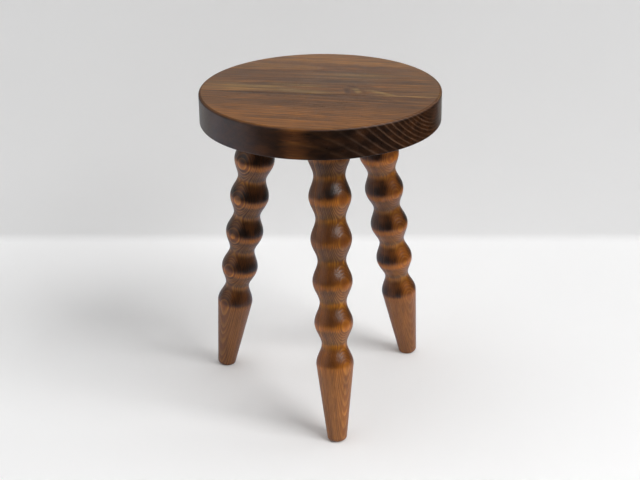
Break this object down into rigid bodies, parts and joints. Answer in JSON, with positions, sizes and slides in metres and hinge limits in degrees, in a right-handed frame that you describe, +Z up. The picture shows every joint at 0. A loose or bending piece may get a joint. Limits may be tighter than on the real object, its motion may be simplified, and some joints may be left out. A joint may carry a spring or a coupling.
{
  "type": "plant stand",
  "caption": "Plant stand with a thick round top on splayed bobbin-turned legs that end in plain cones, in dark stained pine. Holds a pot or a lamp, or serves as a low stool.",
  "frame": {"origin": "on the floor, under the centre of the round top", "axes": "+Z up through the centre of the top, +X along the grain and the glue seam of the top, -Y towards the front, where one leg stands 15 degrees off to +X"},
  "size_m": [0.3031, 0.3031, 0.413],
  "materials": {
    "top": "pine boards, dark walnut stain, satin varnish",
    "legs": "turned pine, dark walnut stain, satin varnish",
    "beech": "bare beech, unseen inside the joints"
  },
  "bodies": {
    "root": {"seat_front_board": "top", "seat_rear_board": "top", "leg_front": "legs", "leg_right": "legs", "leg_left": "legs", "edge_dowel_left": "beech", "edge_dowel_centre": "beech", "edge_dowel_right": "beech", "wedge_front": "beech", "wedge_right": "beech", "wedge_left": "beech"}
  },
  "joints": []
}
